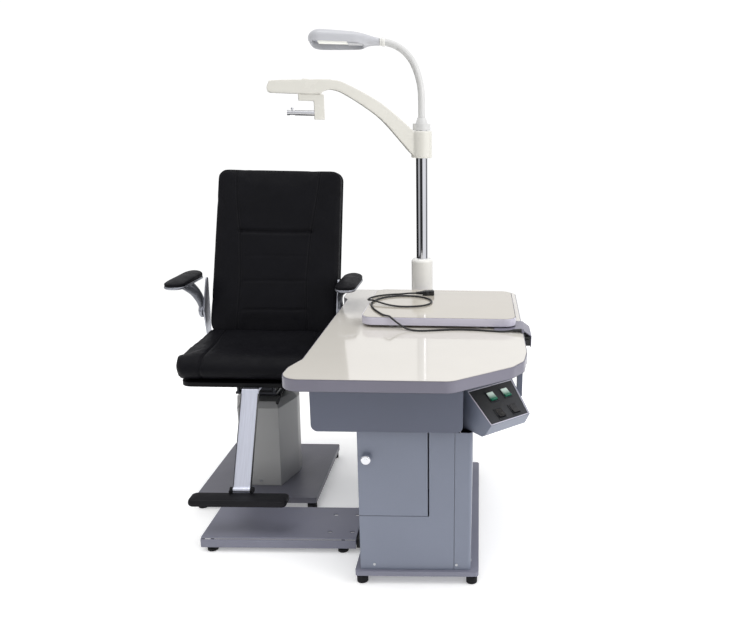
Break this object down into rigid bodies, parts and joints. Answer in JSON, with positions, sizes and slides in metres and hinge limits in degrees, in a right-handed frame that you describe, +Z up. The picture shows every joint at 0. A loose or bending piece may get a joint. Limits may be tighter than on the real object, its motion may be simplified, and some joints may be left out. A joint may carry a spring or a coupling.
{
  "type": "ophthalmic refraction unit",
  "caption": "Instrument table with cabinet, sliding tray, lifting column, phoropter arm and lamp, joined by a low platform to a lifting examination chair with armrests and footrest.",
  "frame": {"origin": "floor under the middle of the whole unit's plan", "axes": "+Z up, the operator stands at -Y, the chair is at -X beside the table"},
  "size_m": [1.414, 1.2218, 1.8555],
  "materials": {
    "floor_paint": "satin",
    "cabinet_paint": "satin",
    "rubber": "matt",
    "black_paint": "satin",
    "steel": "satin",
    "zinc": "satin",
    "chrome": "polished",
    "laminate": "gloss",
    "edge_band": "satin",
    "panel": "satin",
    "green": "gloss",
    "black_plastic": "gloss",
    "white_paint": "gloss",
    "cream_paint": "gloss",
    "cover_plastic": "satin",
    "brass": "turned",
    "shade": "gloss",
    "lamp_glass": "frosted",
    "leather": "grained",
    "cord": "matt",
    "silver_paint": "metallic",
    "aluminium": "brushed"
  },
  "bodies": {
    "base": {"link_platform": "floor_paint", "link_bars": "black_paint", "base_plate": "floor_paint", "feet": "rubber", "cabinet_body": "cabinet_paint", "cabinet_side_cover": "cabinet_paint", "power_supply": "zinc", "door_hinge_pins": "zinc", "screws": "zinc", "apron_box": "cabinet_paint", "table_top": "laminate", "table_edge_band": "edge_band", "control_box": "cabinet_paint", "control_panel": "panel", "tray_rails": "zinc", "column_collar": "white_paint", "column_guide": "steel", "chair_base_plate": "floor_paint", "pedestal_cover": "cover_plastic", "lift_outer": "steel", "lift_actuator": "black_paint"},
    "door": {"cabinet_door": "cabinet_paint"},
    "knob": {"door_knob": "chrome"},
    "green_rocker_left": {"rocker_green_left": "green"},
    "green_rocker_right": {"rocker_green_right": "green"},
    "black_rocker_left": {"rocker_black_left": "black_plastic"},
    "black_rocker_right": {"rocker_black_right": "black_plastic"},
    "tray": {"tray_carriage": "edge_band", "tray_board": "laminate", "tray_edge_band": "edge_band", "outlet_block": "black_plastic", "cord_gland": "cord", "cord": "cord", "cord_plug": "cord"},
    "column": {"column_tube": "chrome"},
    "arm": {"arm_casting": "cream_paint", "arm_bushes": "brass"},
    "bracket": {"phoropter_bracket": "cream_paint", "phoropter_pin": "chrome"},
    "clamp_screw": {"pin_screw": "chrome"},
    "lamp": {"lamp_ring": "white_paint", "lamp_neck": "white_paint"},
    "lamp_head": {"lamp_shell": "shade", "lamp_socket": "shade", "lamp_tube": "lamp_glass"},
    "chair_lift": {"lift_inner": "steel", "actuator_rod": "chrome"},
    "chair_seat": {"seat_mechanism": "black_paint", "seat_shell": "black_paint", "seat_cushion": "leather", "back_cushion": "leather", "back_shell": "black_plastic", "chair_frame": "silver_paint", "footrest_arm": "aluminium"},
    "lever": {"tilt_lever": "black_paint"},
    "left_armrest": {"armrest_left": "silver_paint", "armrest_pad_left": "leather"},
    "right_armrest": {"armrest_right": "silver_paint", "armrest_pad_right": "leather"},
    "tread": {"footrest_tread": "rubber"}
  },
  "joints": [
    {"name": "door_hinge", "type": "hinge", "parent": "base", "child": "door", "pos_m": [0.352, -0.44692, 0.4], "axis": [0, 0, 1], "range_deg": [0, 100]},
    {"name": "knob_turn", "type": "hinge", "parent": "door", "child": "knob", "pos_m": [0.16, -0.45292, 0.461], "axis": [0, 1, 0], "range_deg": [0, 90]},
    {"name": "green_left_rock", "type": "hinge", "parent": "base", "child": "green_rocker_left", "pos_m": [0.55948, -0.4085, 0.65788], "axis": [0.766, 0.6428, 0], "range_deg": [0, 12]},
    {"name": "green_right_rock", "type": "hinge", "parent": "base", "child": "green_rocker_right", "pos_m": [0.60544, -0.36993, 0.65788], "axis": [0.766, 0.6428, 0], "range_deg": [0, 12]},
    {"name": "black_left_rock", "type": "hinge", "parent": "base", "child": "black_rocker_left", "pos_m": [0.58661, -0.4595, 0.62188], "axis": [0.766, 0.6428, 0], "range_deg": [0, 12]},
    {"name": "black_right_rock", "type": "hinge", "parent": "base", "child": "black_rocker_right", "pos_m": [0.63257, -0.42093, 0.62188], "axis": [0.766, 0.6428, 0], "range_deg": [0, 12]},
    {"name": "tray_slide", "type": "slide", "parent": "base", "child": "tray", "axis": [0, -1, 0], "range_m": [0, 0.2]},
    {"name": "column_lift", "type": "slide", "parent": "base", "child": "column", "axis": [0, 0, 1], "range_m": [-0.15, 0.05]},
    {"name": "arm_swing", "type": "hinge", "parent": "column", "child": "arm", "pos_m": [0.268, 0.49909, 1.418], "axis": [0, 0, 1], "range_deg": [0, 80]},
    {"name": "bracket_swivel", "type": "hinge", "parent": "arm", "child": "bracket", "pos_m": [-0.17343, 0.38081, 1.62], "axis": [0, 0, 1], "range_deg": [-60, 60]},
    {"name": "pin_screw_turn", "type": "hinge", "parent": "bracket", "child": "clamp_screw", "pos_m": [-0.22655, 0.36657, 1.54], "axis": [0, 0, 1], "range_deg": [-180, 180]},
    {"name": "lamp_swivel", "type": "hinge", "parent": "column", "child": "lamp", "pos_m": [0.268, 0.49909, 1.48], "axis": [0, 0, 1], "range_deg": [-90, 90]},
    {"name": "lamp_head_turn", "type": "hinge", "parent": "lamp", "child": "lamp_head", "pos_m": [0.09842, 0.49909, 1.81279], "axis": [1, 0, 0], "range_deg": [-40, 50]},
    {"name": "seat_lift", "type": "slide", "parent": "base", "child": "chair_lift", "axis": [0, 0, 1], "range_m": [0, 0.2]},
    {"name": "seat_tilt", "type": "hinge", "parent": "chair_lift", "child": "chair_seat", "pos_m": [-0.354, 0.10909, 0.488], "axis": [-1, 0, 0], "range_deg": [0, 5]},
    {"name": "tilt_lever_pull", "type": "hinge", "parent": "chair_seat", "child": "lever", "pos_m": [-0.254, 0.12008, 0.496], "axis": [-1, 0, 0], "range_deg": [0, 12], "stiffness_Nm_per_rad": 1},
    {"name": "left_armrest_flip", "type": "hinge", "parent": "chair_seat", "child": "left_armrest", "pos_m": [-0.62, 0.31909, 0.742], "axis": [-1, 0, 0], "range_deg": [0, 80]},
    {"name": "right_armrest_flip", "type": "hinge", "parent": "chair_seat", "child": "right_armrest", "pos_m": [-0.056, 0.31909, 0.742], "axis": [-1, 0, 0], "range_deg": [0, 20]},
    {"name": "tread_flip", "type": "hinge", "parent": "chair_seat", "child": "tread", "pos_m": [-0.342, -0.18091, 0.194], "axis": [-1, 0, 0], "range_deg": [0, 100]}
  ]
}
